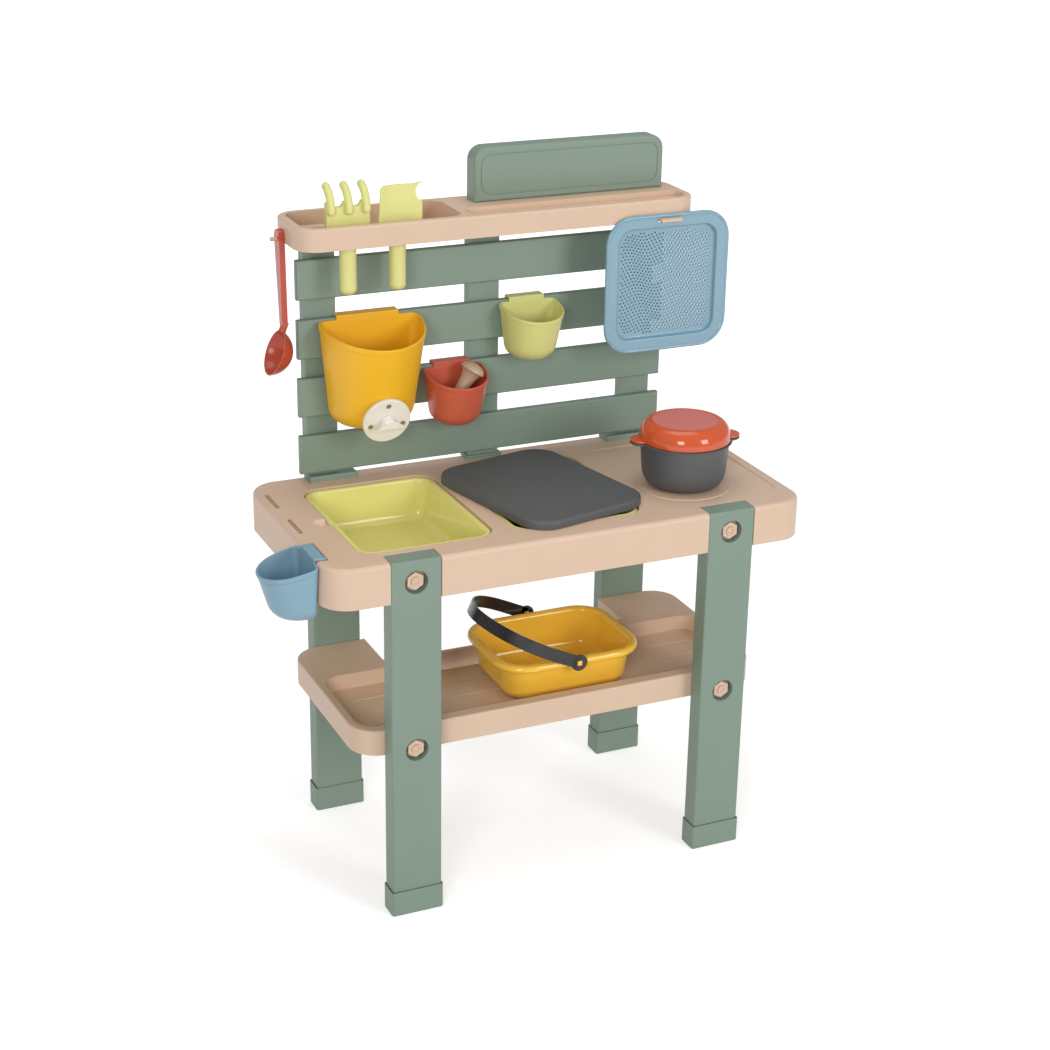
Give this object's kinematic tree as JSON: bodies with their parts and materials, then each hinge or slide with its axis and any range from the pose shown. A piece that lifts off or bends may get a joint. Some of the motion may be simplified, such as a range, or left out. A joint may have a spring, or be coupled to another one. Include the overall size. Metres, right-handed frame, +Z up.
{
  "type": "mud kitchen",
  "caption": "Outdoor play kitchen: counter with lift-out basins and hob on four legs, lower shelf, slatted back wall with tool tray and sign, hanging cups, pots and tools.",
  "frame": {"origin": "on the floor, at the centre of the four legs' footprint", "axes": "+X along the counter to the right as seen from the front, +Y to the back wall, +Z up"},
  "size_m": [0.7678, 0.368, 0.965],
  "materials": {
    "sage": "moulded polypropylene, fine matt grain",
    "sage_foot": "moulded polypropylene, matt",
    "sage_sign": "moulded polypropylene, matt, with a border groove",
    "beige": "moulded polypropylene, satin",
    "steel": "zinc-plated screws",
    "lime": "glossy polypropylene",
    "graphite": "matt dark grey polypropylene",
    "sky": "satin polypropylene",
    "terracotta": "glossy polypropylene",
    "sun": "glossy polypropylene",
    "cream": "satin polypropylene"
  },
  "bodies": {
    "frame": {"leg_front_left": "sage", "leg_front_right": "sage", "leg_back_left": "sage", "leg_back_right": "sage", "foot_cap_front_left": "sage_foot", "foot_cap_front_right": "sage_foot", "foot_cap_back_left": "sage_foot", "foot_cap_back_right": "sage_foot", "counter_top": "beige", "lower_shelf": "beige", "counter_bolts": "beige", "shelf_bolts": "beige", "post_left": "sage", "post_middle": "sage", "post_right": "sage", "slat_1": "sage", "slat_2": "sage", "slat_3": "sage", "slat_4": "sage", "slat_screws": "steel", "tool_tray": "beige", "sign_board": "sage_sign"},
    "left_basin": {"basin_left": "lime"},
    "middle_basin": {"basin_middle": "lime"},
    "chopping_board": {"board": "graphite"},
    "cooking_pot": {"pot": "graphite"},
    "pot_cover": {"pot_lid": "terracotta"},
    "carry_basket": {"basket": "sun"},
    "carry_handle": {"basket_handle": "graphite"},
    "tap_bucket": {"bucket": "sun", "tap_plate": "cream", "tap_screws": "steel"},
    "tap_handle": {"tap_knob": "cream"},
    "hanging_red_cup": {"red_cup": "terracotta"},
    "grinding_pestle": {"pestle": "cream"},
    "hanging_lime_cup": {"lime_cup": "lime"},
    "hanging_blue_cup": {"blue_cup": "sky"},
    "hanging_ladle": {"ladle": "terracotta"},
    "hanging_sieve": {"sieve": "sky"},
    "garden_rake": {"rake": "lime"},
    "garden_shovel": {"shovel": "lime"}
  },
  "joints": [
    {"name": "basin_left_lift", "type": "slide", "parent": "frame", "child": "left_basin", "axis": [0, 0, 1], "range_m": [0, 0.065]},
    {"name": "basin_middle_lift", "type": "slide", "parent": "frame", "child": "middle_basin", "axis": [0, 0, 1], "range_m": [0, 0.05]},
    {"name": "board_slide", "type": "slide", "parent": "middle_basin", "child": "chopping_board", "axis": [0, -1, 0], "range_m": [0, 0.2]},
    {"name": "pot_lift", "type": "slide", "parent": "frame", "child": "cooking_pot", "axis": [0, 0, 1], "range_m": [0, 0.15]},
    {"name": "lid_lift", "type": "slide", "parent": "cooking_pot", "child": "pot_cover", "axis": [0, 0, 1], "range_m": [0, 0.06]},
    {"name": "basket_slide", "type": "slide", "parent": "frame", "child": "carry_basket", "axis": [0, -0.5, 0.866], "range_m": [0, 0.08]},
    {"name": "handle_swing", "type": "hinge", "parent": "carry_basket", "child": "carry_handle", "pos_m": [0.0305, -0.0295, 0.3028], "axis": [0, 1, 0], "range_deg": [-8, 137]},
    {"name": "bucket_lift", "type": "slide", "parent": "frame", "child": "tap_bucket", "axis": [0, 0, 1], "range_m": [0, 0.022]},
    {"name": "tap_turn", "type": "hinge", "parent": "tap_bucket", "child": "tap_handle", "pos_m": [-0.1775, 0.07306, 0.6212], "axis": [0, -0.9585, -0.285], "range_deg": [0, 90]},
    {"name": "red_cup_lift", "type": "slide", "parent": "frame", "child": "hanging_red_cup", "axis": [0, 0, 1], "range_m": [0, 0.022]},
    {"name": "pestle_draw", "type": "slide", "parent": "hanging_red_cup", "child": "grinding_pestle", "axis": [0, 0, 1], "range_m": [0, 0.05]},
    {"name": "lime_cup_lift", "type": "slide", "parent": "frame", "child": "hanging_lime_cup", "axis": [0, 0, 1], "range_m": [0, 0.022]},
    {"name": "blue_cup_lift", "type": "slide", "parent": "frame", "child": "hanging_blue_cup", "axis": [0, 0, 1], "range_m": [0, 0.06]},
    {"name": "ladle_swing", "type": "hinge", "parent": "frame", "child": "hanging_ladle", "pos_m": [-0.2973, 0.148, 0.865], "axis": [1, 0, 0], "range_deg": [-30, 30]},
    {"name": "sieve_pull", "type": "slide", "parent": "frame", "child": "hanging_sieve", "axis": [0, -1, 0], "range_m": [0, 0.03]},
    {"name": "rake_lift", "type": "slide", "parent": "frame", "child": "garden_rake", "axis": [0, 0, 1], "range_m": [0, 0.08]},
    {"name": "shovel_lift", "type": "slide", "parent": "frame", "child": "garden_shovel", "axis": [0, 0, 1], "range_m": [0, 0.08]}
  ]
}
